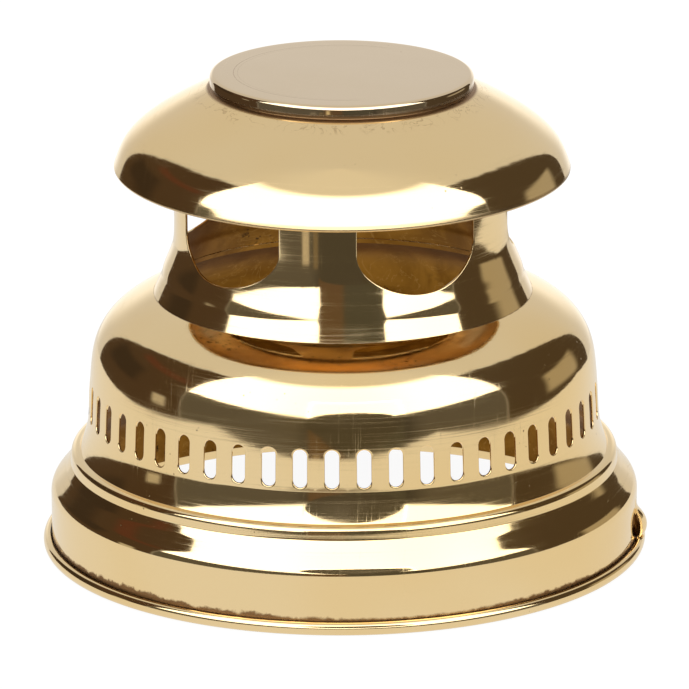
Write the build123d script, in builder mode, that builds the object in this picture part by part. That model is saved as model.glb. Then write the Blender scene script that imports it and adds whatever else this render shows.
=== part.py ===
"""Ventilated hood of a pressure lantern: slotted body, windowed neck, rain cap and cover disc.

All sizes are in millimetres. +Z is up and the origin is at the centre of the rim's underside. The
pocket for the lantern's bayonet lug opens on the +X axis. Every sheet piece is drawn as the middle
line of its sheet in the XZ half plane and revolved round the Z axis.
"""

from build123d import *
from math import cos, radians, sin, tan
import os

# sheet, and the gap left in a slid or soldered joint
sheet = 0.6
half_sheet = sheet / 2
joint_gap = 0.05

# rolled rim and the wire inside it
skirt_r = 79.45
curl_r = 1.15
curl_rise = 1.45
curl_centre_r = skirt_r + curl_r
curl_centre_z = curl_rise + half_sheet
curl_turn = 285
wire_r = curl_r - half_sheet - joint_gap

# body: skirt, lower shoulder, step with a narrow ledge, flare, slotted wall and domed shoulder
skirt_top = (skirt_r, 17.0)
lower_knee = (75.5, 21.75)
step_foot = (74.1, 23.9)
step_edge = (73.75, 27.1)
step_root = (71.6, 27.35)
flare_knee = (69.2, 32.3)
wall_foot = (68.92, 37.6)
lower_bend_radii = [24, 0.4, 1.5, 0.8, 6, 5]
shoulder_points = [(68.7, 42.5), (68.2, 49.5), (66.62, 57.8), (62.58, 63.8), (57.76, 67.35)]
shoulder_end = (52.0, 70.35)
shoulder_edge = (49.8, 71.3)

# ring of slots in the wall
slot_count = 51
slot_phase = 5.95
slot_centre_z = 41.8
slot_height = 10.4
slot_width = 3.8

# pressed pocket for the bayonet lug
pocket_base_r = 77.5
pocket_points = [(79.2, 3.1), (82.2, 4.0), (83.05, 6.3), (82.15, 9.4), (79.2, 13.5)]
pocket_tip_z = 14.7
pocket_stretch = 2.1

# neck: conical foot that stands through the body's hole, flare, five windows and closed top
neck_r = 45.1
neck_cone_top = (48.8, 75.5)
neck_cone_angle = 24.4
neck_foot_z = 69.3
neck_flare_points = [(48.41, 76.9), (47.17, 80.2), (45.82, 83.8), (45.5, 85.0), (45.2, 88.0)]
neck_waist_z = 92.0
neck_shoulder = (45.1, 119.8)
neck_crown = (34.6, 126.35)
neck_bend_radii = [2.0, 2.0]
window_count = 5
window_half_angle = 22.8
window_low_z = 81.7
window_spring_z = 93.2
window_high_z = 112.0

# rain cap: folded rim, dome, rib that the cover disc grips, and flat
cap_rim_r = 61.1
cap_rim_z = 105.45
hem_depth = 0.85
hem_r = 0.33
dome_rim_angle = 20
dome_points = [(58.8, 110.95), (54.3, 116.05), (47.3, 121.0), (39.8, 125.1)]
dome_end = (36.2, 126.95)
rib_foot_z = 127.6
rib_outer_r = 34.5
rib_inner_r = 33.2
rib_top_z = 130.6
rib_bend_radii = [0.6, 0.6, 0.6, 0.6]
cap_flat_z = 126.95

# cover disc: its face rests on the rib and its edge is turned down round it
disc_face_z = rib_top_z + sheet
disc_edge_r = rib_outer_r + sheet + joint_gap
disc_edge_z = 128.75
disc_bend_r = 0.9

# rivets through the cap and the neck's closed top
rivet_count = 6
rivet_circle_r = 22.0
rivet_hole_r = 1.5
rivet_shank_r = rivet_hole_r - joint_gap
rivet_head_r = 3.0
rivet_head_h = 1.3
rivet_dome_r = (rivet_head_r**2 + rivet_head_h**2) / (2 * rivet_head_h)
rivet_tail_r = 2.4
rivet_tail_h = 0.9

# places worked out from the sizes above
neck_spread = tan(radians(neck_cone_angle))
neck_foot = (neck_cone_top[0] + (neck_cone_top[1] - neck_foot_z) * neck_spread, neck_foot_z)
neck_cone_way = (-sin(radians(neck_cone_angle)), cos(radians(neck_cone_angle)))
hole_foot_r = neck_foot[0] + half_sheet / cos(radians(neck_cone_angle)) + joint_gap
hole_height = neck_cone_top[1] - neck_foot_z
hole_top_r = hole_foot_r - hole_height * neck_spread
hem_inner_r = cap_rim_r - 2 * hem_r
dome_way = (-sin(radians(dome_rim_angle)), cos(radians(dome_rim_angle)))
dome_start = (cap_rim_r - hem_r + hem_r * dome_way[1], cap_rim_z - hem_r * dome_way[0])
neck_crown_z = neck_crown[1]
cap_flat_high_z = cap_flat_z + half_sheet
neck_crown_low_z = neck_crown_z - half_sheet
rivet_head_top_z = cap_flat_high_z + rivet_head_h
rivet_tail_z = neck_crown_low_z - rivet_tail_h
window_half_width = neck_r * sin(radians(window_half_angle))

os.makedirs("parts", exist_ok=True)

# ---------------------------------------------------------------- cutting and pressing tools
# One slot, cut outwards along +X.
with BuildPart() as slot_tool:
    with BuildSketch(Plane.YZ.offset(flare_knee[0] - 8)):
        with Locations((0, slot_centre_z)):
            SlotOverall(slot_height, slot_width, rotation=90)
    extrude(amount=16)

# One window: straight sides above a half ellipse, cut outwards along +X.
with BuildPart() as window_tool:
    with BuildSketch(Plane.YZ.offset(neck_r - 12)):
        with Locations((0, window_spring_z)):
            Ellipse(window_half_width, window_spring_z - window_low_z)
        with Locations((0, (window_spring_z + window_high_z) / 2)):
            Rectangle(2 * window_half_width, window_high_z - window_spring_z)
    extrude(amount=16)


def pocket_profile():
    """Closed teardrop outline of the pocket at its mouth."""
    with BuildLine() as outline:
        Line((pocket_base_r, pocket_points[0][1]), pocket_points[0])
        Spline(*pocket_points)
        Line(pocket_points[-1], (pocket_base_r, pocket_tip_z))
        Line((pocket_base_r, pocket_tip_z), (pocket_base_r, pocket_points[0][1]))
    return outline.line


# The pocket's outside and its hollow: a teardrop swung a quarter turn, then drawn out along +Y.
with BuildPart() as pocket_dome:
    with BuildSketch(Plane.XZ):
        add(pocket_profile())
        make_face()
    revolve(axis=Axis((pocket_base_r, 0, 0), (0, 0, 1)), revolution_arc=90)
    scale(by=(1, pocket_stretch, 1))

with BuildPart() as pocket_hollow:
    with BuildSketch(Plane.XZ):
        add(pocket_profile())
        make_face()
        offset(amount=-sheet)
    revolve(axis=Axis((pocket_base_r, 0, 0), (0, 0, 1)), revolution_arc=90)
    scale(by=(1, pocket_stretch, 1))

# ---------------------------------------------------------------- body shell
with BuildPart() as body_shell:
    with BuildSketch(Plane.XZ):
        with BuildLine():
            Line(shoulder_edge, shoulder_end)
            Spline(
                wall_foot,
                *shoulder_points,
                shoulder_end,
                tangents=[
                    Vector(*wall_foot) - Vector(*flare_knee),
                    Vector(*shoulder_edge) - Vector(*shoulder_end),
                ],
            )
            FilletPolyline(
                wall_foot,
                flare_knee,
                step_root,
                step_edge,
                step_foot,
                lower_knee,
                skirt_top,
                (skirt_r, curl_centre_z),
                radius=lower_bend_radii,
            )
            EllipticalCenterArc(
                (curl_centre_r, curl_centre_z), curl_r, curl_rise, start_angle=180, arc_size=curl_turn
            )
        trace(line_width=sheet)
    revolve(axis=Axis.Z)
    add(pocket_dome.part)
    add(pocket_hollow.part, mode=Mode.SUBTRACT)
    with Locations((0, 0, curl_centre_z)):
        Cylinder(
            skirt_r - half_sheet,
            pocket_tip_z - curl_centre_z,
            align=(Align.CENTER, Align.CENTER, Align.MIN),
            mode=Mode.SUBTRACT,
        )
    with Locations((0, 0, neck_foot_z)):
        Cone(
            hole_foot_r,
            hole_top_r,
            hole_height,
            align=(Align.CENTER, Align.CENTER, Align.MIN),
            mode=Mode.SUBTRACT,
        )
    with PolarLocations(0, slot_count, start_angle=slot_phase - 90):
        add(slot_tool.part, mode=Mode.SUBTRACT)
body_shell.part.label = "body_shell"
export_step(body_shell.part, "parts/body_shell.step")

# ---------------------------------------------------------------- rim wire
with BuildPart() as rim_wire:
    with BuildSketch(Plane.XZ):
        with Locations((curl_centre_r, curl_centre_z)):
            Circle(wire_r)
    revolve(axis=Axis.Z)
rim_wire.part.label = "rim_wire"
export_step(rim_wire.part, "parts/rim_wire.step")

# ---------------------------------------------------------------- neck shell
with BuildPart() as neck_shell:
    with BuildSketch(Plane.XZ):
        with BuildLine():
            Line(neck_foot, neck_cone_top)
            Spline(
                neck_cone_top,
                *neck_flare_points,
                (neck_r, neck_waist_z),
                tangents=[neck_cone_way, (0, 1)],
            )
            FilletPolyline(
                (neck_r, neck_waist_z),
                neck_shoulder,
                neck_crown,
                (0, neck_crown_z),
                radius=neck_bend_radii,
            )
        trace(line_width=sheet)
    revolve(axis=Axis.Z)
    with PolarLocations(0, window_count, start_angle=180 / window_count - 90):
        add(window_tool.part, mode=Mode.SUBTRACT)
    with PolarLocations(rivet_circle_r, rivet_count):
        Cylinder(rivet_hole_r, 3 * neck_crown_z, mode=Mode.SUBTRACT)
neck_shell.part.label = "neck_shell"
export_step(neck_shell.part, "parts/neck_shell.step")

# ---------------------------------------------------------------- rain cap
with BuildPart() as cap_dome:
    with BuildSketch(Plane.XZ):
        with BuildLine():
            Line((hem_inner_r, cap_rim_z + hem_depth), (hem_inner_r, cap_rim_z))
            CenterArc((cap_rim_r - hem_r, cap_rim_z), hem_r, 180, 180 + dome_rim_angle)
            Spline(
                dome_start,
                *dome_points,
                dome_end,
                tangents=[dome_way, Vector(*dome_end) - Vector(*dome_points[-1])],
            )
            FilletPolyline(
                dome_end,
                (rib_outer_r, rib_foot_z),
                (rib_outer_r, rib_top_z),
                (rib_inner_r, rib_top_z),
                (rib_inner_r, cap_flat_z),
                (0, cap_flat_z),
                radius=rib_bend_radii,
            )
        trace(line_width=sheet)
    revolve(axis=Axis.Z)
    with PolarLocations(rivet_circle_r, rivet_count):
        Cylinder(rivet_hole_r, 3 * cap_flat_z, mode=Mode.SUBTRACT)
cap_dome.part.label = "cap_dome"
export_step(cap_dome.part, "parts/cap_dome.step")

# ---------------------------------------------------------------- rivets
with BuildPart() as rivet:
    with BuildSketch(Plane.XZ):
        with BuildLine():
            Polyline(
                (0, rivet_head_top_z),
                (0, rivet_tail_z),
                (rivet_tail_r, rivet_tail_z),
                (rivet_tail_r, neck_crown_low_z),
                (rivet_shank_r, neck_crown_low_z),
                (rivet_shank_r, cap_flat_high_z),
                (rivet_head_r, cap_flat_high_z),
            )
            RadiusArc((rivet_head_r, cap_flat_high_z), (0, rivet_head_top_z), -rivet_dome_r)
        make_face()
    revolve(axis=Axis.Z)

with BuildPart() as cap_rivets:
    with PolarLocations(rivet_circle_r, rivet_count):
        add(rivet.part)
cap_rivets.part.label = "cap_rivets"
export_step(cap_rivets.part, "parts/cap_rivets.step")

# ---------------------------------------------------------------- cover disc
with BuildPart() as top_disc:
    with BuildSketch(Plane.XZ):
        with BuildLine():
            FilletPolyline(
                (0, disc_face_z),
                (disc_edge_r, disc_face_z),
                (disc_edge_r, disc_edge_z),
                radius=[disc_bend_r],
            )
        trace(line_width=sheet)
    revolve(axis=Axis.Z)
top_disc.part.label = "top_disc"
export_step(top_disc.part, "parts/top_disc.step")
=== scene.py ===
"""Polished brass ventilator hood of a pressure lantern, on a plain pale floor.

Every sheet piece is a lathe mesh built from the same middle-line outline as the CAD node that it
stands for. Outlines are in millimetres, as (radius, height) in the row frame, and meshes in metres.
"""

import math

import bmesh
import bpy
import numpy as np
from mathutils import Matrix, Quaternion, Vector


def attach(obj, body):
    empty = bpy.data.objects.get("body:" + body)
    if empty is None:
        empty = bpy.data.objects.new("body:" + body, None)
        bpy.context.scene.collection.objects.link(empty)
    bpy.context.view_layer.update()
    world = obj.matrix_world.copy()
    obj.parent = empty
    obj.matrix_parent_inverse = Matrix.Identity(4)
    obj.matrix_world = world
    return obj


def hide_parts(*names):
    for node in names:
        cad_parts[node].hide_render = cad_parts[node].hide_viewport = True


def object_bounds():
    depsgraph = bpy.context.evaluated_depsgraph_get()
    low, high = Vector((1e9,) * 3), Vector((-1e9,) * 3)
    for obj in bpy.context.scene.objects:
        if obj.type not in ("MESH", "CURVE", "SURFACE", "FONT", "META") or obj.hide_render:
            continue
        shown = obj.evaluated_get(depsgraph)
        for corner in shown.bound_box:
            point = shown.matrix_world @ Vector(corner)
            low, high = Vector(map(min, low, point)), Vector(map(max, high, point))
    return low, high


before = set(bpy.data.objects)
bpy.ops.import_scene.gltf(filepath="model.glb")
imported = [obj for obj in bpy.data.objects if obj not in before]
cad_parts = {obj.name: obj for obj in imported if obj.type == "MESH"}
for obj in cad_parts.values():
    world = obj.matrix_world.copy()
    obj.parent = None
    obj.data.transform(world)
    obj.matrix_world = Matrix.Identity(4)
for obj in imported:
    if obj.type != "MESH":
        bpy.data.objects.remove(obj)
cad_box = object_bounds()

MM = 0.001
HALF_SHEET = 0.3

# ---------------------------------------------------------------- outlines, in millimetres
CURL_CENTRE = (80.6, 1.75)
CURL_R = 1.15
CURL_RISE = 1.45
CURL_TURN = 285
SKIRT_FOOT = (79.45, 1.75)
SKIRT_TOP = (79.45, 17.0)
LOWER_KNEE = (75.5, 21.75)
STEP_FOOT = (74.1, 23.9)
STEP_EDGE = (73.75, 27.1)
STEP_ROOT = (71.6, 27.35)
FLARE_KNEE = (69.2, 32.3)
WALL_FOOT = (68.92, 37.6)
LOWER_BENDS = (5, 6, 0.8, 1.5, 0.4, 24)
SHOULDER = ((68.7, 42.5), (68.2, 49.5), (66.62, 57.8), (62.58, 63.8), (57.76, 67.35))
SHOULDER_END = (52.0, 70.35)
SHOULDER_EDGE = (50.6, 70.96)

SLOT_COUNT = 51
SLOT_PHASE = -84.05
SLOT_HALF_WIDTH = 1.9
SLOT_LOW, SLOT_HIGH = 36.6, 47.0
SLOT_BAND = (35.6, 48.2)

POCKET_LOW, POCKET_TIP = 3.1, 14.7
POCKET_BASE_R = 77.5
POCKET_OUTLINE = ((79.2, 3.1), (82.2, 4.0), (83.05, 6.3), (82.15, 9.4), (79.2, 13.5))
POCKET_STRETCH = 2.1
POCKET_MOUTH = 0.62
POCKET_MOUTH_REACH = 5
POCKET_SOFTNESS = 0.16
POCKET_ROOM = (0.6, 0.8)
POCKET_LIP = (0.04, 0.16, 0.42)
POCKET_LIP_HALF_HEIGHT = 6

NECK_CONE_TOP = (48.8, 75.5)
NECK_CONE_WAY = (-0.4131, 0.9107)
NECK_FOOT = (51.612, 69.3)
NECK_FLARE = ((48.41, 76.9), (47.17, 80.2), (45.82, 83.8), (45.5, 85.0), (45.2, 88.0))
NECK_WAIST = (45.1, 92.0)
NECK_SHOULDER = (45.1, 119.8)
NECK_CROWN = (34.6, 126.35)
NECK_BEND = 2.0
WINDOW_COUNT = 5
WINDOW_HALF_WIDTH = 17.477
WINDOW_LOW, WINDOW_SPRING, WINDOW_HIGH = 81.7, 93.2, 112.0
WINDOW_BAND = (79.0, 114.5)
LEAN_STARTS_OVER = 8

CAP_RIM = (61.1, 105.45)
HEM_R = 0.33
HEM_DEPTH = 0.85
RIM_ANGLE = 20
DOME = ((58.8, 110.95), (54.3, 116.05), (47.3, 121.0), (39.8, 125.1), (36.2, 126.95))
RIB = ((34.5, 127.6), (34.5, 130.6), (33.2, 130.6), (33.2, 126.95), (0, 126.95))
RIB_BEND = 0.6

DISC_EDGE = (35.15, 128.75)
DISC_CORNER = (35.15, 131.2)
DISC_BEND = 0.9

RIVET_COUNT = 6
RIVET_CIRCLE = 22.0
RIVET_HEAD_R, RIVET_HEAD_H = 3.0, 1.3
RIVET_TAIL_R, RIVET_TAIL_H = 2.4, 0.9
RIVET_SHANK_R = 1.45
RIVET_SEAT, RIVET_FOOT = 127.25, 126.05
WIRE_R = 0.8

# radius that the punched edges are rolled over to, and the angle between an arc's points in the curl and hem
EDGE_ROLL = 0.24
FINE_TURN = 10

# the cap sits a shade lower towards +X, and its rim is bent a little out of flat
CAP_LEAN = 0.0084
RIM_BEND = 0.45
RIM_BEND_FROM, RIM_BEND_OVER = 47, 14
ROUND_COLUMNS = 481


# ---------------------------------------------------------------- plane curves
def unit(v):
    v = np.asarray(v, float)
    return v / np.hypot(*v)


def unit_rows(v):
    return v / np.hypot(*v.T)[:, None]


def line(a, b, step=1.5):
    """Evenly spaced points from a to b."""
    count = max(1, math.ceil(math.dist(a, b) / step))
    t = np.linspace(0, 1, count + 1)[:, None]
    return np.array(a, float) * (1 - t) + np.array(b, float) * t


def arc(centre, radius, start, sweep, turn=4.0):
    """Points of an arc, from the start angle through the sweep, in degrees."""
    count = max(2, math.ceil(abs(sweep) / turn))
    angle = np.radians(start + sweep * np.arange(count + 1) / count)
    return np.stack([centre[0] + radius * np.cos(angle), centre[1] + radius * np.sin(angle)], 1)


def join(*runs):
    """One path from runs that each start where the last one ends."""
    return np.concatenate([runs[0]] + [run[1:] for run in runs[1:]])


def filleted(points, radii, step=1.5):
    """A polyline with an arc of the given radius at each inner corner."""
    runs = []
    at = np.array(points[0], float)
    for before, corner, after, radius in zip(points, points[1:], points[2:], radii):
        corner = np.array(corner, float)
        a = unit(np.array(before) - corner)
        b = unit(np.array(after) - corner)
        half = math.acos(np.clip(a @ b, -1, 1)) / 2
        centre = corner + unit(a + b) * radius / math.sin(half)
        first = corner + a * radius / math.tan(half)
        last = corner + b * radius / math.tan(half)
        v, w = first - centre, last - centre
        start = math.degrees(math.atan2(v[1], v[0]))
        sweep = math.degrees(math.atan2(v[0] * w[1] - v[1] * w[0], v @ w))
        if math.dist(at, first) > 1e-6:
            runs.append(line(at, first, step))
        runs.append(arc(centre, radius, start, sweep))
        at = last
    runs.append(line(at, points[-1], step))
    return join(*runs)


def spline(points, start_way, end_way, step=0.6):
    """A cubic spline through the points that leaves and arrives along the given ways."""
    p = np.array(points, float)
    h = np.hypot(*np.diff(p, axis=0).T)
    system = np.zeros((len(p), len(p)))
    known = np.zeros((len(p), 2))
    system[0, 0] = system[-1, -1] = 1
    known[0], known[-1] = unit(start_way), unit(end_way)
    for i in range(1, len(p) - 1):
        system[i, i - 1 : i + 2] = h[i], 2 * (h[i - 1] + h[i]), h[i - 1]
        before = h[i] * (p[i] - p[i - 1]) / h[i - 1]
        after = h[i - 1] * (p[i + 1] - p[i]) / h[i]
        known[i] = 3 * (before + after)
    slope = np.linalg.solve(system, known)
    runs = [p[:1]]
    for i, length in enumerate(h):
        count = math.ceil(length / step)
        t = (np.arange(count) + 1)[:, None] / count
        ends = (2 * t**3 - 3 * t**2 + 1) * p[i] + (3 * t**2 - 2 * t**3) * p[i + 1]
        ways = (t**3 - 2 * t**2 + t) * slope[i] + (t**3 - t**2) * slope[i + 1]
        runs.append(ends + length * ways)
    return np.concatenate(runs)


def body_outline():
    """From inside the rolled rim, up the skirt, step, flare, wall and shoulder, to the top hole."""
    curl = arc((0, 0), 1, 180 + CURL_TURN, -CURL_TURN, FINE_TURN) * (CURL_R, CURL_RISE) + CURL_CENTRE
    corners = [SKIRT_FOOT, SKIRT_TOP, LOWER_KNEE, STEP_FOOT, STEP_EDGE, STEP_ROOT, FLARE_KNEE, WALL_FOOT]
    lower = filleted(corners, LOWER_BENDS, step=0.5)
    leaving = np.subtract(WALL_FOOT, FLARE_KNEE)
    arriving = np.subtract(SHOULDER_EDGE, SHOULDER_END)
    shoulder = spline([WALL_FOOT, *SHOULDER, SHOULDER_END], leaving, arriving)
    return join(curl, lower, shoulder, line(SHOULDER_END, SHOULDER_EDGE, 0.6))


def neck_outline():
    """From the conical foot, up the flare and the windows, to the middle of the closed top."""
    flare = spline([NECK_CONE_TOP, *NECK_FLARE, NECK_WAIST], NECK_CONE_WAY, (0, 1))
    top = filleted([NECK_WAIST, NECK_SHOULDER, NECK_CROWN, (0, NECK_CROWN[1])], [NECK_BEND] * 2)
    return join(line(NECK_FOOT, NECK_CONE_TOP, 0.6), flare, top)


def cap_outline():
    """From the rim's folded edge, over the dome and the rib, to the middle of the flat."""
    inner_r = CAP_RIM[0] - 2 * HEM_R
    hem = line((inner_r, CAP_RIM[1] + HEM_DEPTH), (inner_r, CAP_RIM[1]), 0.4)
    fold = arc((CAP_RIM[0] - HEM_R, CAP_RIM[1]), HEM_R, 180, 180 + RIM_ANGLE, FINE_TURN)
    tilt = math.radians(RIM_ANGLE)
    dome = spline([fold[-1], *DOME], (-math.sin(tilt), math.cos(tilt)), np.subtract(DOME[-1], DOME[-2]))
    rib = filleted([DOME[-1], *RIB], [RIB_BEND] * 4)
    return join(hem, fold, dome, rib)


def disc_outline():
    """From the turned-down edge to the middle of the face."""
    return filleted([DISC_EDGE, DISC_CORNER, (0, DISC_CORNER[1])], [DISC_BEND])


# ---------------------------------------------------------------- meshes
class Lathe:
    """Collects grids of points, in millimetres, and welds them into one mesh."""

    def __init__(self):
        self.points, self.faces, self.materials, self.count = [], [], [], 0

    def grid(self, points, material=0, flip=False):
        """Quads over an array of points[row, column]."""
        rows, columns = points.shape[:2]
        index = self.count + np.arange(rows * columns).reshape(rows, columns)
        corners = [index[:-1, :-1], index[:-1, 1:], index[1:, 1:], index[1:, :-1]]
        quads = np.stack(corners[::-1] if flip else corners, -1)
        self.points.append(points.reshape(-1, 3))
        self.faces.append(quads.reshape(-1, 4))
        self.materials.append(np.broadcast_to(np.atleast_2d(material).T, quads.shape[:2]).ravel())
        self.count += rows * columns

    def build(self, name, sharp=40):
        """The welded mesh as an object, smooth but for edges sharper than the given angle."""
        mesh = bpy.data.meshes.new(name)
        points = np.concatenate(self.points) * MM
        mesh.from_pydata(points.tolist(), [], np.concatenate(self.faces).tolist())
        mesh.polygons.foreach_set("material_index", np.concatenate(self.materials).astype(np.int32))
        work = bmesh.new()
        work.from_mesh(mesh)
        bmesh.ops.remove_doubles(work, verts=work.verts, dist=0.002 * MM)
        work.to_mesh(mesh)
        work.free()
        mesh.shade_smooth()
        mesh.set_sharp_from_angle(angle=math.radians(sharp))
        piece = bpy.data.objects.new(name, mesh)
        bpy.context.scene.collection.objects.link(piece)
        return piece


def outward(path):
    """Unit normals of a path, on its right-hand side."""
    step = unit_rows(np.diff(path, axis=0))
    along = unit_rows(np.concatenate([step[:1], step[:-1] + step[1:], step[-1:]]))
    return np.stack([along[:, 1], -along[:, 0]], 1)


def turned(section, angles):
    """points[row, column] of a section's (radius, height) rows at each angle, in degrees."""
    a = np.radians(angles)[None, :]
    r, z = section[:, :1], section[:, 1:]
    return np.stack([r * np.cos(a), r * np.sin(a), z + 0 * a], -1)


def sheet(lathe, path, normals, angles, bend=None, open_low=True, open_high=True, inside=1):
    """Both faces of a sheet that follows the path, and its edges. bend moves the turned points."""
    faces = []
    for side in (HALF_SHEET, -HALF_SHEET):
        faces.append(turned(path + normals * side, angles))
    if bend is not None:
        faces = [bend(points) for points in faces]
    outer, inner = faces
    lathe.grid(outer)
    lathe.grid(inner, inside, flip=True)
    if open_low:
        lathe.grid(np.stack([inner[0], outer[0]]))
    if open_high:
        lathe.grid(np.stack([outer[-1], inner[-1]]))
    return outer, inner


def crossing(path, height):
    """The last row of a path under a height, and the share of the way on to the next at which it crosses."""
    i = np.where(path[:-1, 1] < height)[0][-1]
    return i, (height - path[i, 1]) / (path[i + 1, 1] - path[i, 1])


def split_at_band(path, normals, band):
    """Cuts a path at two heights of its last rising stretch. Gives (path, normals) below and above."""
    cuts = []
    for height in band:
        i, share = crossing(path, height)
        at = path[i] + share * (path[i + 1] - path[i])
        cuts.append((i + 1, [at], [unit(normals[i] * (1 - share) + normals[i + 1] * share)]))
    (low, low_at, low_normal), (high, high_at, high_normal) = cuts
    below = np.concatenate([path[:low], low_at]), np.concatenate([normals[:low], low_normal])
    above = np.concatenate([high_at, path[high:]]), np.concatenate([high_normal, normals[high:]])
    return below, above


def surface(path, normals, band):
    """A function that gives points of the sheet between two heights.

    It takes widths across in millimetres or angles in degrees, middle-line heights and the side
    of the middle line, and gives angles in radians, radii and heights."""
    rows = slice(crossing(path, band[0])[0], crossing(path, band[1])[0] + 2)
    r, z = path[rows].T
    n = normals[rows]

    def point(across, height, side, by_width):
        radius = np.interp(height, z, r) + side * np.interp(height, z, n[:, 0])
        angle = np.arcsin(across / radius) if by_width else np.radians(across)
        level = height + side * np.interp(height, z, n[:, 1])
        return angle, radius, level

    return point


def hole_cells(lathe, point, count, phase, band, outline, segments, rings=(5, 4, 4)):
    """A ring of punched holes between two heights of a wall, with edges rolled over outside.

    outline holds the hole's (width, height) points, going round as the cell's border does."""
    across, along = segments
    low, high = band
    half = 180 / count
    flat = np.linspace(-half, half, across + 1)
    rise = np.linspace(low, high, along + 1)
    border = join(
        np.stack([flat, 0 * flat + low], 1),
        np.stack([0 * rise + half, rise], 1),
        np.stack([flat[::-1], 0 * flat + high], 1),
        np.stack([0 * rise - half, rise[::-1]], 1),
    )
    before = np.roll(outline[:-1], 1, axis=0)
    after = np.roll(outline[:-1], -1, axis=0)
    way = unit_rows(after - before)
    away = np.stack([way[:, 1], -way[:, 0]], 1)
    away = np.concatenate([away, away[:1]])
    rows = []

    def place(shape, side, by_width):
        angle, radius, level = point(shape[:, 0], shape[:, 1], side, by_width)
        rows.append(np.stack([angle, radius, level], 1))

    def between(shape, side, shares):
        hole_angle, _, _ = point(shape[:, 0], shape[:, 1], side, True)
        target = np.stack([np.degrees(hole_angle), shape[:, 1]], 1)
        for share in shares:
            place(border * (1 - share) + target * share, side, False)

    outer_rings, roll_steps, inner_rings = rings
    crowding = 0.8
    rolled = outline + away * EDGE_ROLL
    between(rolled, HALF_SHEET, (np.arange(outer_rings + 1) / outer_rings) ** crowding)
    for step in range(1, roll_steps + 1):
        turn = math.radians(90 * step / roll_steps)
        shape = outline + away * EDGE_ROLL * (1 - math.sin(turn))
        place(shape, HALF_SHEET - EDGE_ROLL * (1 - math.cos(turn)), True)
    between(outline, -HALF_SHEET, (np.arange(inner_rings, -1, -1) / inner_rings) ** crowding)
    rows = np.array(rows)
    material = np.zeros(len(rows) - 1, int)
    material[outer_rings + roll_steps + 1 :] = 1
    for cell in range(count):
        a = rows[..., 0] + np.radians(phase + cell * 360 / count)
        points = np.stack([rows[..., 1] * np.cos(a), rows[..., 1] * np.sin(a), rows[..., 2]], -1)
        lathe.grid(points, material)


def stadium(half_width, low, high, across, along):
    """A slot's outline from its lower left, round by the right."""
    foot = arc((0, low + half_width), half_width, 180, 180, turn=180 / across)
    head = arc((0, high - half_width), half_width, 0, 180, turn=180 / across)
    share = np.linspace(0, 1, along + 1)[:, None]
    right = foot[-1] * (1 - share) + head[0] * share
    left = head[-1] * (1 - share) + foot[0] * share
    return join(foot, right, head, left)


def arched_window(across, along):
    """A window's outline: a half ellipse below, straight sides and a flat top."""
    turn = np.radians(180 + np.linspace(0, 180, across + 1))
    drop = WINDOW_SPRING - WINDOW_LOW
    foot = np.stack([WINDOW_HALF_WIDTH * np.cos(turn), WINDOW_SPRING + drop * np.sin(turn)], 1)
    rise = np.linspace(WINDOW_SPRING, WINDOW_HIGH, along + 1)
    flat = np.linspace(WINDOW_HALF_WIDTH, -WINDOW_HALF_WIDTH, across + 1)
    right = np.stack([0 * rise + WINDOW_HALF_WIDTH, rise], 1)
    head = np.stack([flat, 0 * flat + WINDOW_HIGH], 1)
    left = np.stack([0 * rise - WINDOW_HALF_WIDTH, rise[::-1]], 1)
    return join(foot, right, head, left)


def soft_positive(value):
    """The value where it is well above zero and zero well below, with a soft bend between."""
    return 0.5 * (value + np.sqrt(value**2 + POCKET_SOFTNESS))


def pocket_swell(points):
    """Presses the bayonet pocket outwards: a teardrop that opens at the first column."""
    outline = spline(POCKET_OUTLINE, (1, 0.2), (-0.6, 1), step=0.1)
    x, y, z = np.moveaxis(points, -1, 0)
    r = np.hypot(x, y)
    angle = np.arctan2(y, x)
    far_away = 99
    along = np.where(np.abs(angle) < 1, r * np.sin(angle - angle[:, :1]), far_away)
    reach = np.interp(z, outline[:, 1], outline[:, 0], left=POCKET_BASE_R, right=POCKET_BASE_R)
    deep = np.maximum(reach - POCKET_BASE_R, 0)
    swell = np.sqrt(np.maximum(deep**2 - (along / POCKET_STRETCH) ** 2, 0))
    rest = POCKET_BASE_R - SKIRT_TOP[0] - HALF_SHEET
    soft = soft_positive(rest + swell) - soft_positive(rest)
    from_mouth = np.clip(along / POCKET_MOUTH_REACH, 0, 1)
    opening = POCKET_MOUTH + (1 - POCKET_MOUTH) * from_mouth * (2 - from_mouth)
    tall = (z > POCKET_LOW - POCKET_ROOM[0]) & (z < POCKET_TIP + POCKET_ROOM[1])
    lift = np.where(tall & (along > -1e-6), np.maximum(soft, 0) * opening, 0)
    lift[:, -1] = 0
    off_middle = np.abs(z - 0.5 * (POCKET_LOW + POCKET_TIP)) / POCKET_LIP_HALF_HEIGHT
    lip = np.sqrt(np.clip(1 - off_middle, 0, 1))
    lift[:, -len(POCKET_LIP) :] += lip[:, -len(POCKET_LIP) :] * POCKET_LIP
    scale = (r + lift) / r
    return np.stack([x * scale, y * scale, z], -1)


def cap_set(points):
    """Leans what stands above the windows and bends the rain cap's rim, as on the real hood."""
    x, y, z = np.moveaxis(points, -1, 0)
    r = np.hypot(x, y)
    high = np.clip((z - WINDOW_BAND[1]) / LEAN_STARTS_OVER, 0, 1)
    lean = np.where(r > NECK_WAIST[0] + 1, 1, high)
    rim = np.clip((r - RIM_BEND_FROM) / RIM_BEND_OVER, 0, 1)
    bend = RIM_BEND * rim * rim * (3 - 2 * rim) * (x**2 - y**2) / np.maximum(r**2, 1e-9)
    return np.stack([x, y, z - CAP_LEAN * x * lean + bend], -1)


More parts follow.
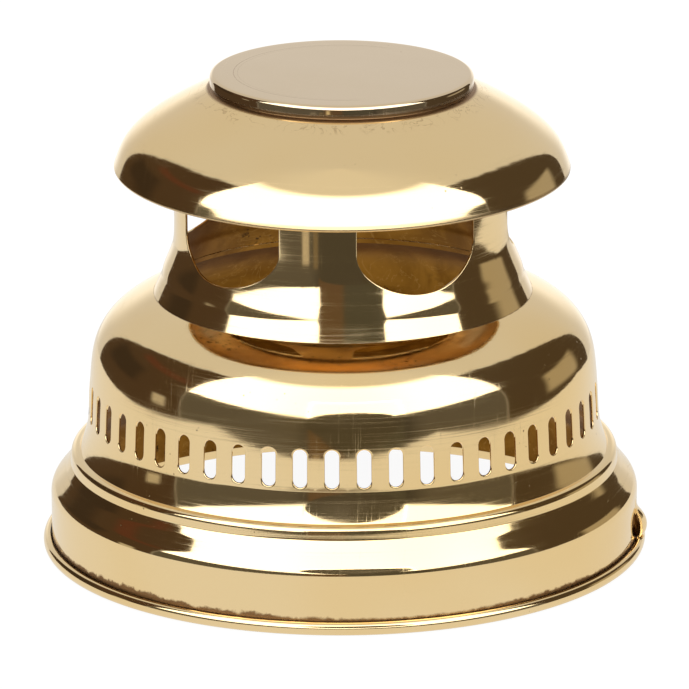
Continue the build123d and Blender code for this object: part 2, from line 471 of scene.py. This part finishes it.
def slotted_body():
    """The body, with its pocket pressed out and torn open on one side."""
    path = body_outline()
    normals = outward(path)
    per_cell, per_side = 16, 14
    step = 360 / SLOT_COUNT / per_cell
    first = SLOT_PHASE - 180 / SLOT_COUNT
    first += step * round(-first / step)
    angles = first + step * np.arange(SLOT_COUNT * per_cell + 1)
    below, above = split_at_band(path, normals, SLOT_BAND)
    lathe = Lathe()
    curl_rows = math.ceil(CURL_TURN / FINE_TURN)
    inside = np.ones(len(below[0]) - 1, int)
    inside[: curl_rows + 2] = 0
    outer, inner = sheet(lathe, *below, angles, bend=pocket_swell, open_high=False, inside=inside)
    torn = [
        i
        for i, (_, height) in enumerate(below[0])
        if i >= curl_rows and POCKET_LOW - POCKET_ROOM[1] < height < POCKET_TIP + POCKET_ROOM[1]
    ]
    lathe.grid(np.stack([outer[torn, 0], inner[torn, 0]], 1), flip=True)
    lathe.grid(np.stack([outer[torn, -1], inner[torn, -1]], 1))
    sheet(lathe, *above, angles, open_low=False)
    point = surface(path, normals, SLOT_BAND)
    outline = stadium(SLOT_HALF_WIDTH, SLOT_LOW, SLOT_HIGH, per_cell, per_side)
    hole_cells(lathe, point, SLOT_COUNT, SLOT_PHASE, SLOT_BAND, outline, (per_cell, per_side))
    return lathe.build("slotted_body")


def windowed_neck():
    """The neck, a cup with its mouth down, with five windows cut in its side."""
    path = neck_outline()
    normals = outward(path)
    per_cell, per_side = 96, 30
    phase = 180 / WINDOW_COUNT - 90
    angles = phase - 180 / WINDOW_COUNT + np.linspace(0, 360, WINDOW_COUNT * per_cell + 1)
    below, above = split_at_band(path, normals, WINDOW_BAND)
    lathe = Lathe()
    sheet(lathe, *below, angles, open_high=False)
    sheet(lathe, *above, angles, bend=cap_set, open_low=False, open_high=False)
    point = surface(path, normals, WINDOW_BAND)
    outline = arched_window(per_cell, per_side)
    cells = (per_cell, per_side)
    hole_cells(lathe, point, WINDOW_COUNT, phase, WINDOW_BAND, outline, cells, rings=(24, 4, 12))
    return lathe.build("windowed_neck")


def rain_cap():
    """The rain cap, with the fold under its rim polished like its outside."""
    path = cap_outline()
    lathe = Lathe()
    hem_rows = 3 + math.ceil((180 + RIM_ANGLE) / FINE_TURN)
    inside = np.ones(len(path) - 1, int)
    inside[:hem_rows] = 0
    angles = np.linspace(0, 360, ROUND_COLUMNS)
    sheet(lathe, path, outward(path), angles, bend=cap_set, open_high=False, inside=inside)
    return lathe.build("rain_cap")


def cover_disc():
    path = disc_outline()
    lathe = Lathe()
    angles = np.linspace(0, 360, ROUND_COLUMNS)
    sheet(lathe, path, outward(path), angles, bend=cap_set, open_high=False)
    return lathe.build("cover_disc")


def cap_rivet_set():
    """Six rivets: a domed head, a shank that clears its hole and a low closed end."""
    head_r = (RIVET_HEAD_R**2 + RIVET_HEAD_H**2) / (2 * RIVET_HEAD_H)
    top = RIVET_SEAT + RIVET_HEAD_H
    half = math.degrees(math.asin(RIVET_HEAD_R / head_r))
    dome = arc((0, top - head_r), head_r, 90 - half, half)
    tail = RIVET_FOOT - RIVET_TAIL_H
    lower = filleted(
        [(0, tail), (RIVET_TAIL_R, tail), (RIVET_TAIL_R, RIVET_FOOT), (RIVET_SHANK_R, RIVET_FOOT)], [0.3, 0.2]
    )
    shank = [(RIVET_SHANK_R, RIVET_FOOT), (RIVET_SHANK_R, RIVET_SEAT), (RIVET_HEAD_R, RIVET_SEAT)]
    section = join(lower, np.array(shank, float), dome)
    lathe = Lathe()
    one = turned(section, np.linspace(0, 360, 37))
    for i in range(RIVET_COUNT):
        a = 2 * math.pi * i / RIVET_COUNT
        place = np.array([RIVET_CIRCLE * math.cos(a), RIVET_CIRCLE * math.sin(a), 0])
        lathe.grid(cap_set(one + place))
    return lathe.build("cap_rivet_set")


def rim_wire_ring():
    lathe = Lathe()
    lathe.grid(turned(arc(CURL_CENTRE, WIRE_R, 0, 360, turn=20), np.linspace(0, 360, 241)))
    return lathe.build("rim_wire_ring")


# ---------------------------------------------------------------- materials
class Finish:
    """One material and short calls that add its nodes."""

    def __init__(self, name, metallic=1.0):
        self.material = bpy.data.materials.new(name)
        self.material.use_nodes = True
        self.tree = self.material.node_tree
        self.shader = self.tree.nodes["Principled BSDF"]
        self.shader.inputs["Metallic"].default_value = metallic
        self.object = self.add("ShaderNodeTexCoord", {}, "Object")
        parts = self.tree.nodes.new("ShaderNodeSeparateXYZ")
        self.tree.links.new(self.object, parts.inputs[0])
        self.x, self.y, self.z = parts.outputs
        x_squared = self.math("MULTIPLY", self.x, self.x)
        y_squared = self.math("MULTIPLY", self.y, self.y)
        self.r = self.math("SQRT", self.math("ADD", x_squared, y_squared))
        self.east = self.math("DIVIDE", self.x, self.r)
        self.north = self.math("DIVIDE", self.y, self.r)

    def add(self, kind, inputs, output=0, **settings):
        node = self.tree.nodes.new(kind)
        for key, value in settings.items():
            setattr(node, key, value)
        for key, value in inputs.items():
            self.feed(node.inputs[key], value)
        return node.outputs[output]

    def feed(self, socket, value):
        if isinstance(value, bpy.types.NodeSocket):
            self.tree.links.new(value, socket)
        else:
            socket.default_value = value

    def math(self, operation, a, b=0.0):
        return self.add("ShaderNodeMath", {0: a, 1: b}, operation=operation)

    def product(self, first, *others):
        """All the values multiplied, from the first on."""
        for other in others:
            first = self.math("MULTIPLY", first, other)
        return first

    def step(self, value, low, high, to_low=0.0, to_high=1.0):
        """A smooth change from to_low at low to to_high at high."""
        inputs = {"Value": value, "From Min": low, "From Max": high, "To Min": to_low, "To Max": to_high}
        return self.add("ShaderNodeMapRange", inputs, interpolation_type="SMOOTHSTEP")

    def band(self, value, low, high, soft):
        """1 between low and high and 0 outside, with soft edges."""
        rise = self.step(value, low - soft, low + soft)
        fall = self.step(value, high - soft, high + soft, 1.0, 0.0)
        return self.math("MULTIPLY", rise, fall)

    def noise(self, scale, detail=3.0, roughness=0.5, distortion=0.0, vector=None):
        inputs = {
            "Vector": vector or self.object,
            "Scale": scale,
            "Detail": detail,
            "Roughness": roughness,
            "Distortion": distortion,
        }
        return self.add("ShaderNodeTexNoise", inputs, "Fac")

    def spun(self, across, around, detail=2.0, roughness=0.5):
        """Noise drawn out round the axis. across is per metre along the outline, around per turn."""
        vector = self.add(
            "ShaderNodeCombineXYZ",
            {
                0: self.math("MULTIPLY", self.east, around),
                1: self.math("MULTIPLY", self.north, around),
                2: self.math("MULTIPLY", self.z, across),
            },
        )
        inputs = {
            "Vector": vector,
            "W": self.math("MULTIPLY", self.r, across),
            "Scale": 1.0,
            "Detail": detail,
            "Roughness": roughness,
        }
        return self.add("ShaderNodeTexNoise", inputs, "Fac", noise_dimensions="4D")

    def hairlines(self, lean, amount):
        """Fine straight scratches that all lean one way, in patches."""
        turned_to = {"Vector": self.object, "Rotation": lean, "Scale": (2400.0, 42.0, 42.0)}
        vector = self.add("ShaderNodeMapping", turned_to)
        lines = self.step(self.noise(1.0, 1.0, vector=vector), 0.69, 0.74)
        patches = self.step(self.noise(34, 2.0, vector=self.object), 0.46, 0.62)
        return self.product(lines, patches, amount)

    def mix(self, share, a, b):
        """Colour a where share is 0, b where it is 1."""
        node = self.tree.nodes.new("ShaderNodeMix")
        node.data_type = "RGBA"
        for index, value in ((0, share), (6, a), (7, b)):
            self.feed(node.inputs[index], value)
        return node.outputs[2]

    def bump(self, height, distance, below=None):
        """Relief of the given depth, in metres, on top of the relief below it."""
        inputs = {"Height": height, "Distance": distance, "Strength": 1.0}
        if below is not None:
            inputs["Normal"] = below
        return self.add("ShaderNodeBump", inputs, "Normal")

    def finish(self, colour, roughness, normal=None):
        self.feed(self.shader.inputs["Base Color"], colour)
        self.feed(self.shader.inputs["Roughness"], roughness)
        if normal is not None:
            self.feed(self.shader.inputs["Normal"], normal)
        return self.material


def rgb(r, g, b):
    return (r, g, b, 1.0)


BRASS = rgb(0.90, 0.70, 0.395)
BRASS_WARM = rgb(0.88, 0.655, 0.33)
DISC_BRASS = rgb(0.815, 0.655, 0.445)
DISC_BRASS_WARM = rgb(0.79, 0.625, 0.40)
# dark brown for pits, stains and dirty joints, and also for painted shade under the cover disc and the rain
# cap's rim
GRIME_AND_SHADE = rgb(0.19, 0.085, 0.028)


def polished_brass(name, marks_and_shade=None, lines=1.0, tones=(BRASS, BRASS_WARM)):
    """Polished spun brass: long ripples, fine spin lines, hairline scratches, haze, pits, and added marks,
    some of them painted shade.
    """
    f = Finish(name)
    colour = f.mix(f.step(f.noise(14, 2.0), 0.42, 0.66), *tones)
    haze = f.step(f.noise(26, 4.0, 0.6, 1.2), 0.45, 0.75)
    spin = f.spun(5200, 1.3, 2.0)
    wide = f.spun(1500, 0.9, 2.0)
    scratch = f.math("MAXIMUM", f.hairlines((0.5, 0.3, 0.9), 1.0), f.hairlines((-0.4, 0.8, 2.2), 0.8))
    scratch = f.math("MAXIMUM", scratch, f.hairlines((1.2, -0.5, 0.2), 0.7))
    rough = f.math("ADD", 0.055, f.math("MULTIPLY", haze, 0.04))
    rough = f.math("ADD", rough, f.math("MULTIPLY", f.step(spin, 0.5, 0.72), 0.11 * lines))
    rough = f.math("ADD", rough, f.math("MULTIPLY", scratch, 0.12))
    pits = f.add("ShaderNodeTexVoronoi", {"Vector": f.object, "Scale": 420.0, "Randomness": 1.0}, "Distance")
    sparse = f.step(f.noise(60, 2.0), 0.60, 0.68)
    pit = f.math("MULTIPLY", f.step(pits, 0.05, 0.12, 1.0, 0.0), sparse)
    colour = f.mix(f.math("MULTIPLY", pit, 0.8), colour, GRIME_AND_SHADE)
    rough = f.math("ADD", rough, f.math("MULTIPLY", pit, 0.3))
    # the added marks hold stains and dirty joints, and painted shade under the cover disc's edge and the rain
    # cap's rim
    if marks_and_shade is not None:
        marks_and_shade_mask = marks_and_shade(f)
        colour = f.mix(marks_and_shade_mask, colour, GRIME_AND_SHADE)
        rough = f.math("ADD", rough, f.math("MULTIPLY", marks_and_shade_mask, 0.4))
    ripple = f.bump(f.noise(38, 1.0), 0.00007)
    normal = f.bump(wide, 0.0000028 * lines, ripple)
    normal = f.bump(spin, 0.000001 * lines, normal)
    normal = f.bump(scratch, -0.000002, normal)
    normal = f.bump(pit, -0.00003, normal)
    return f.finish(colour, rough, normal)


def groove_band_and_joint_dirt(f):
    """A ragged dark band on the skirt just above the rolled rim, highest at the front left, and a dirty line
    at the neck's joint.
    """
    ragged = f.noise(300, 4.0, 0.65)
    lobes = f.noise(22, 2.0)
    leftward = f.math("ADD", f.math("MULTIPLY", f.x, 0.62), f.math("MULTIPLY", f.y, 0.78))
    front_left = f.step(leftward, -0.072, -0.060, 1.9, 1.0)
    height = f.math("MULTIPLY", f.math("MULTIPLY", ragged, lobes), f.math("MULTIPLY", front_left, 0.0042))
    above = f.math("SUBTRACT", f.z, f.math("ADD", 0.0033, height))
    below = f.step(above, -0.0006, 0.0003, 1.0, 0.0)
    on_skirt = f.math("MULTIPLY", f.step(f.r, 0.0790, 0.0794), f.step(f.r, 0.0799, 0.0803, 1.0, 0.0))
    groove = f.product(below, on_skirt, f.step(f.z, 0.0024, 0.0029))
    at_joint = f.step(f.r, 0.0511, 0.0514, 0.6, 0.0)
    joint = f.math("MULTIPLY", at_joint, f.step(f.noise(500, 3.0), 0.3, 0.55))
    return f.math("MULTIPLY", f.math("MAXIMUM", groove, joint), 0.9)


def joint_grime(f):
    """A thin dark line round the neck's foot."""
    edge = f.step(f.z, 0.0709, 0.0713, 1.0, 0.0)
    return f.math("MULTIPLY", edge, f.step(f.noise(500, 3.0), 0.3, 0.6, 0.3, 0.85))


def cap_stains_and_shade(f):
    """Dried water marks on the dome just below the cover disc, and painted shade: the dome darkened in the
    angle under the disc's edge, and the rim's fold darkened underneath.
    """
    edge = f.band(f.noise(160, 3.0, 0.6, 0.8), 0.50, 0.515, 0.008)
    ring = f.band(f.r, 0.0366, 0.0398, 0.0012)
    marks = f.product(edge, ring, 0.35)
    # painted shade: the dome darkened evenly in the angle under the disc's edge
    angle = f.math("MULTIPLY", f.step(f.r, 0.0358, 0.0368, 1.0, 0.0), 0.85)
    # painted shade: the underside of the rim's fold darkened evenly
    hem = f.math("MULTIPLY", f.step(f.z, 0.1056, 0.1062, 0.4, 0.0), f.step(f.r, 0.0600, 0.0605))
    return f.math("MAXIMUM", f.math("MAXIMUM", marks, angle), hem)


def disc_rings_and_shade(f):
    """A plain double ring etched round the cover disc, and painted shade along the foot of its turned-down
    edge.
    """
    outer = f.band(f.r, 0.02890, 0.02915, 0.00004)
    inner = f.band(f.r, 0.02790, 0.02800, 0.00004)
    top = f.step(f.z, 0.13140, 0.13145)
    # painted shade: the foot of the disc's turned-down edge darkened, where it overhangs the dome
    under = f.step(f.z, 0.1289, 0.1294, 0.5, 0.0)
    etched = f.product(f.math("MAXIMUM", outer, inner), top, 0.42)
    return f.math("MAXIMUM", etched, under)


def tarnished_brass(name, pale, deep, run_mark):
    """The unpolished inside: golden brown, with run marks, soot spots and pitting."""
    f = Finish(name)
    clouds = f.noise(45, 5.0, 0.6, 1.4)
    colour = f.mix(f.step(clouds, 0.35, 0.65), pale, deep)
    runs = f.band(f.noise(70, 4.0, 0.55, 2.2), 0.495, 0.505, 0.006)
    colour = f.mix(f.math("MULTIPLY", runs, 0.35), colour, run_mark)
    soot = f.step(f.noise(380, 4.0, 0.7), 0.56, 0.64)
    where = f.step(f.noise(30, 2.0), 0.53, 0.60)
    spots = f.math("MULTIPLY", soot, where)
    colour = f.mix(f.math("MULTIPLY", spots, 0.85), colour, rgb(0.02, 0.011, 0.005))
    rough = f.math("ADD", 0.24, f.math("MULTIPLY", clouds, 0.2))
    rough = f.math("ADD", rough, f.math("MULTIPLY", spots, 0.3))
    normal = f.bump(f.spun(1600, 1.5), 0.000006)
    normal = f.bump(clouds, 0.00006, normal)
    normal = f.bump(spots, -0.00004, normal)
    return f.finish(colour, rough, normal)


def drawn_steel(name):
    """The dull steel wire in the rim."""
    f = Finish(name)
    rust = f.step(f.noise(180, 4.0, 0.6), 0.52, 0.66)
    colour = f.mix(rust, rgb(0.42, 0.41, 0.40), rgb(0.20, 0.09, 0.04))
    rough = f.math("ADD", 0.34, f.math("MULTIPLY", rust, 0.4))
    return f.finish(colour, rough, f.bump(f.noise(900, 3.0), 0.00001))


# ---------------------------------------------------------------- the object
def stand_for(piece, node, slot, *materials):
    """Gives a piece its materials, and puts it in a CAD node's place."""
    for material in materials:
        piece.data.materials.append(material)
    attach(piece, "root")
    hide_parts(node)
    return piece


brown_tones = (rgb(0.25, 0.115, 0.016), rgb(0.16, 0.068, 0.008), rgb(0.42, 0.24, 0.07))
golden_tones = (rgb(0.86, 0.68, 0.46), rgb(0.68, 0.50, 0.31), rgb(0.9, 0.76, 0.55))
brown = tarnished_brass("brown_brass", *brown_tones)
golden = tarnished_brass("golden_brass", *golden_tones)
body_polish = polished_brass("body_brass_polish", groove_band_and_joint_dirt)
neck_polish = polished_brass("neck_brass_polish", joint_grime)
cap_polish = polished_brass("cap_brass_polish", cap_stains_and_shade)
disc_polish = polished_brass("disc_brass_polish", disc_rings_and_shade, 0.5, (DISC_BRASS, DISC_BRASS_WARM))
stand_for(slotted_body(), "body_shell", "body_brass", body_polish, brown)
neck = stand_for(windowed_neck(), "neck_shell", "neck_brass", neck_polish, brown)
stand_for(rain_cap(), "cap_dome", "cap_brass", cap_polish, golden)
stand_for(cover_disc(), "top_disc", "disc_brass", disc_polish, golden)
stand_for(cap_rivet_set(), "cap_rivets", "rivet_brass", polished_brass("rivet_brass_polish"))
stand_for(rim_wire_ring(), "rim_wire", "wire_steel", drawn_steel("rim_wire_steel"))


# ---------------------------------------------------------------- floor, studio and camera
CAMERA_AZIMUTH = 8.6
CAMERA_PITCH = 16.87
CAMERA_DISTANCE = 1.9572
AIM_HEIGHT = 0.0553
LENS = 377.39
SHIFT_X = 0.0017
CAMERA_ROLL = -0.346

# the room's sphere: its radius, the height of its middle and the soft box's brightness
ROOM_R = 1.6
ROOM_MIDDLE = 0.06
BOX_GLOW = 2.6


def plain(name, colour, glow, diffuse=0.0):
    """A plain studio surface: its own glow, and some diffuse colour."""
    material = bpy.data.materials.new(name)
    material.use_nodes = True
    shader = material.node_tree.nodes["Principled BSDF"]
    shader.inputs["Base Color"].default_value = rgb(*(diffuse * c for c in colour))
    shader.inputs["Roughness"].default_value = 1.0
    shader.inputs["Specular IOR Level"].default_value = 0.0
    shader.inputs["Emission Color"].default_value = rgb(*colour)
    shader.inputs["Emission Strength"].default_value = glow
    return material


def studio_mesh(name, points, faces, material, seen=False):
    """A floor, card or room. What isn't seen by the camera only shows in reflections."""
    mesh = bpy.data.meshes.new(name)
    mesh.from_pydata([tuple(p) for p in points], [], faces)
    mesh.materials.append(material)
    mesh.shade_smooth()
    card = bpy.data.objects.new(name, mesh)
    bpy.context.scene.collection.objects.link(card)
    card.visible_camera = seen
    card.visible_glossy = not seen
    card.visible_diffuse = seen
    card.visible_shadow = False
    return card


def from_camera_side(out, across, height):
    """A point so far out towards the camera's side, so far to its right, and at a height."""
    seen_from = math.radians(CAMERA_AZIMUTH)
    x = out * math.sin(seen_from) + across * math.cos(seen_from)
    y = -out * math.cos(seen_from) + across * math.sin(seen_from)
    return x, y, height


def grid_faces(rows, columns):
    """Quads of a grid whose points run along each row first. The numbers count cells."""
    stride = columns + 1
    return [
        (i * stride + j, i * stride + j + 1, (i + 1) * stride + j + 1, (i + 1) * stride + j)
        for i in range(rows)
        for j in range(columns)
    ]


# the soft box: its lower edge at the middle, that edge's climb per degree sideways, and the plain
# dark gap in its lower middle
BOX_LOW, BOX_CLIMB = 6.0, 0.2
GAP_TURN = (-15.5, 26.5)
GAP_TOP = 36

# pale uprights below the box: from and to (azimuth), top (elevation) and tone
FRONT_STREAKS = (
    (-27.0, -22.5, -12.0, rgb(0.62, 0.55, 0.43)),
    (-19.5, -16.5, -11.0, rgb(0.22, 0.17, 0.10)),
    (-13.5, -10.5, -9.5, rgb(0.80, 0.66, 0.40)),
    (-7.0, -4.5, -14.5, rgb(0.34, 0.30, 0.22)),
    (20.0, 22.5, -13.0, rgb(0.24, 0.21, 0.15)),
)

# patches on the dark walls: azimuths and softness, elevations and softness, and tone
LEFT_PATCHES = (
    ((-136, -108, 4), (4, 21, 3), rgb(0.048, 0.033, 0.021)),
    ((-122, -82, 4), (28, 33, 1.5), rgb(0.11, 0.045, 0.026)),
    ((-94, -86, 1.5), (-5, 3, 1.5), rgb(0.5, 0.46, 0.38)),
)
RIGHT_PATCHES = (((103, 130, 3), (-5, 12, 2), rgb(0.42, 0.37, 0.28)),)


def room_light():
    """The glow of a photographer's room, by azimuth from the camera's side and by elevation.

    One broad soft box stands over the camera, with dark walls left and right of it, a dim front
    below it, and a pale ceiling and backdrop elsewhere. Angles are in degrees."""
    f = Finish("room_light", metallic=0.0)
    front_x, front_y, _ = from_camera_side(1, 0, 0)
    right = f.math("ADD", f.math("MULTIPLY", f.x, -front_y), f.math("MULTIPLY", f.y, front_x))
    front = f.math("ADD", f.math("MULTIPLY", f.x, front_x), f.math("MULTIPLY", f.y, front_y))
    turn = f.math("MULTIPLY", f.math("ARCTAN2", right, front), 180 / math.pi)
    rise = f.math("MULTIPLY", f.math("ARCTAN2", f.z, f.r), 180 / math.pi)
    side = f.math("ABSOLUTE", turn)

    box_low = f.math("ADD", f.math("MULTIPLY", f.math("MINIMUM", side, 70.0), BOX_CLIMB), BOX_LOW)
    low_soft = f.step(side, 20, 60, 2.6, 0.9)
    above_low = f.math("DIVIDE", f.math("SUBTRACT", rise, box_low), low_soft)
    box = f.math("MULTIPLY", f.step(above_low, -1, 1), f.step(rise, 58, 66, 1.0, 0.0))
    box = f.math("MULTIPLY", box, f.band(turn, -76.3, 77.3, 0.5))
    gap = f.math("MULTIPLY", f.band(turn, *GAP_TURN, 0.5), f.step(rise, GAP_TOP - 3, GAP_TOP, 1.0, 0.0))
    box = f.math("MULTIPLY", box, f.math("SUBTRACT", 1.0, gap))

    wall_turn = f.math("MULTIPLY", f.math("SUBTRACT", side, 60.0), 1 / 85)
    wall_fall = f.math("SUBTRACT", 1.0, f.math("POWER", f.math("MAXIMUM", wall_turn, 0.0), 2.2))
    wall_top = f.math("MULTIPLY", f.math("SQRT", f.math("MAXIMUM", wall_fall, 0.0)), 55.0)
    wall_top = f.math("SUBTRACT", wall_top, f.step(side, 142, 148, 0.0, 14.0))
    ripple = f.math("MULTIPLY", f.math("SUBTRACT", f.noise(7, 2.0), 0.5), 4.0)
    wall = f.step(f.math("SUBTRACT", rise, f.math("ADD", wall_top, ripple)), -1.2, 1.2, 1.0, 0.0)
    sided = f.step(side, 76, 78)
    front_low = f.math("MULTIPLY", f.step(rise, 58, 62, 1.0, 0.0), f.step(side, 76, 78, 1.0, 0.0))

    centre = f.math("MULTIPLY", f.band(turn, -16, 30, 8), f.step(rise, 4, 11, 1.0, 0.0))
    dim = f.mix(centre, rgb(0.115, 0.103, 0.083), rgb(0.045, 0.040, 0.032))
    dim = f.mix(gap, dim, f.mix(f.step(turn, -1, 2), rgb(0.13, 0.085, 0.05), rgb(0.085, 0.08, 0.062)))
    for low, high, top, tone in FRONT_STREAKS:
        streak = f.math("MULTIPLY", f.band(turn, low, high, 0.8), f.step(rise, top - 1.5, top, 1.0, 0.0))
        dim = f.mix(f.math("MULTIPLY", streak, 0.85), dim, tone)

    def patched(wall_tone, patches):
        for turns, rises, tone in patches:
            patch = f.math("MULTIPLY", f.band(turn, *turns), f.band(rise, *rises))
            wall_tone = f.mix(patch, wall_tone, tone)
        return wall_tone

    left_wall = patched(rgb(0.075, 0.048, 0.028), LEFT_PATCHES)
    right_wall = patched(rgb(0.080, 0.058, 0.036), RIGHT_PATCHES)
    walls = f.mix(f.step(turn, -1, 1), left_wall, right_wall)

    far = f.math("MULTIPLY", f.step(side, 150, 168), f.band(rise, -14, 12, 6))
    pale = f.mix(f.step(side, 40, 110), rgb(0.80, 0.772, 0.72), rgb(0.71, 0.69, 0.665))
    pale = f.mix(far, pale, rgb(1.15, 1.13, 1.08))
    glow = f.mix(f.math("MULTIPLY", wall, sided), pale, walls)
    glow = f.mix(front_low, glow, dim)
    glow = f.mix(box, glow, rgb(BOX_GLOW, BOX_GLOW, 2.55))
    f.feed(f.shader.inputs["Emission Color"], glow)
    f.shader.inputs["Emission Strength"].default_value = 1.0
    f.shader.inputs["Base Color"].default_value = rgb(0, 0, 0)
    f.shader.inputs["Specular IOR Level"].default_value = 0.0
    f.material.cycles.emission_sampling = "NONE"
    return f.material


def room(material, rows=60, columns=120):
    """The room's sphere round the object, from just under the horizon to overhead."""
    rise = np.radians(np.linspace(-30, 90, rows + 1))
    section = np.stack([ROOM_R * np.cos(rise), ROOM_R * np.sin(rise)], 1)
    points = turned(section, np.linspace(0, 360, columns + 1)).reshape(-1, 3)
    sphere = studio_mesh("room", points, grid_faces(rows, columns), material)
    sphere.location.z = ROOM_MIDDLE


def box_centre(neck_piece, columns=24, rows=8):
    """Fills the soft box's gap for every piece but the neck, where the photo's gap shows plainest."""
    edge_overlap = 0.6
    points = []
    for side_turn in np.linspace(GAP_TURN[0] - edge_overlap, GAP_TURN[1] + edge_overlap, columns + 1):
        angle = math.radians(side_turn + CAMERA_AZIMUTH)
        for rise in np.linspace(BOX_LOW + BOX_CLIMB * abs(side_turn), GAP_TOP, rows + 1):
            level = math.cos(math.radians(rise))
            way = (level * math.sin(angle), -level * math.cos(angle), math.sin(math.radians(rise)))
            points.append([0.98 * ROOM_R * w for w in way])
    material = bpy.data.materials.new("box_centre")
    material.use_nodes = True
    tree = material.node_tree
    tree.nodes.clear()
    output = tree.nodes.new("ShaderNodeOutputMaterial")
    both = tree.nodes.new("ShaderNodeAddShader")
    glow = tree.nodes.new("ShaderNodeEmission")
    glow.inputs["Strength"].default_value = BOX_GLOW
    clear = tree.nodes.new("ShaderNodeBsdfTransparent")
    tree.links.new(glow.outputs[0], both.inputs[0])
    tree.links.new(clear.outputs[0], both.inputs[1])
    tree.links.new(both.outputs[0], output.inputs["Surface"])
    card = studio_mesh("box_centre", points, grid_faces(columns, rows), material)
    card.location.z = ROOM_MIDDLE
    left_out = bpy.data.collections.new("not_lit_by_box_centre")
    left_out.objects.link(neck_piece)
    left_out.collection_objects[0].light_linking.link_state = "EXCLUDE"
    card.light_linking.receiver_collection = left_out


def flag(half_width, half_height, out, right, height):
    """A dark card close in front, which keeps the soft box off the middle of the flare and the step."""
    points = []
    for angle in np.radians(np.arange(0, 360, 10)):
        across = right + half_width * math.cos(angle)
        points.append(from_camera_side(out, across, height + half_height * math.sin(angle)))
    dark = plain("flag_dark", (0.075, 0.066, 0.050), 1.0)
    studio_mesh("flag", points, [tuple(range(len(points)))], dark)


def flat_card(name, half_x, half_y, height, material, seen=False):
    """A level rectangle round the Z axis."""
    points = [(sx * half_x, sy * half_y, height) for sx, sy in ((-1, -1), (1, -1), (1, 1), (-1, 1))]
    return studio_mesh(name, points, [(0, 1, 2, 3)], material, seen)


hair = 0.0001
room(room_light())
box_centre(neck)
flat_card("table", 0.34, 0.31, hair, plain("table_white", (1.0, 0.975, 0.93), 0.84))
flag(half_width=0.054, half_height=0.031, out=0.17, right=0.012, height=0.060)
floor_white = plain("floor_white", (1, 1, 1), 0.94, 0.10)
floor = flat_card("floor", 6.0, 6.0, cad_box[0].z - hair, floor_white, seen=True)
floor.visible_shadow = True

world = bpy.data.worlds.new("pale_room")
world.use_nodes = True
world.node_tree.nodes["Background"].inputs["Color"].default_value = rgb(1, 1, 1)
world.node_tree.nodes["Background"].inputs["Strength"].default_value = 1.0
world.cycles_visibility.glossy = False
bpy.context.scene.world = world

camera_data = bpy.data.cameras.new("camera")
camera_data.lens = LENS
camera_data.sensor_width = 36
camera_data.shift_x = SHIFT_X
camera_data.clip_end = 20
camera = bpy.data.objects.new("camera", camera_data)
bpy.context.scene.collection.objects.link(camera)
pitch = math.radians(CAMERA_PITCH)
back = Vector(from_camera_side(math.cos(pitch), 0, math.sin(pitch)))
camera.location = Vector((0, 0, AIM_HEIGHT)) + back * CAMERA_DISTANCE
camera.rotation_mode = "QUATERNION"
level_view = (-back).to_track_quat("-Z", "Y")
camera.rotation_quaternion = level_view @ Quaternion((0, 0, 1), math.radians(CAMERA_ROLL))
bpy.context.scene.camera = camera
bpy.context.scene.view_settings.view_transform = "Standard"
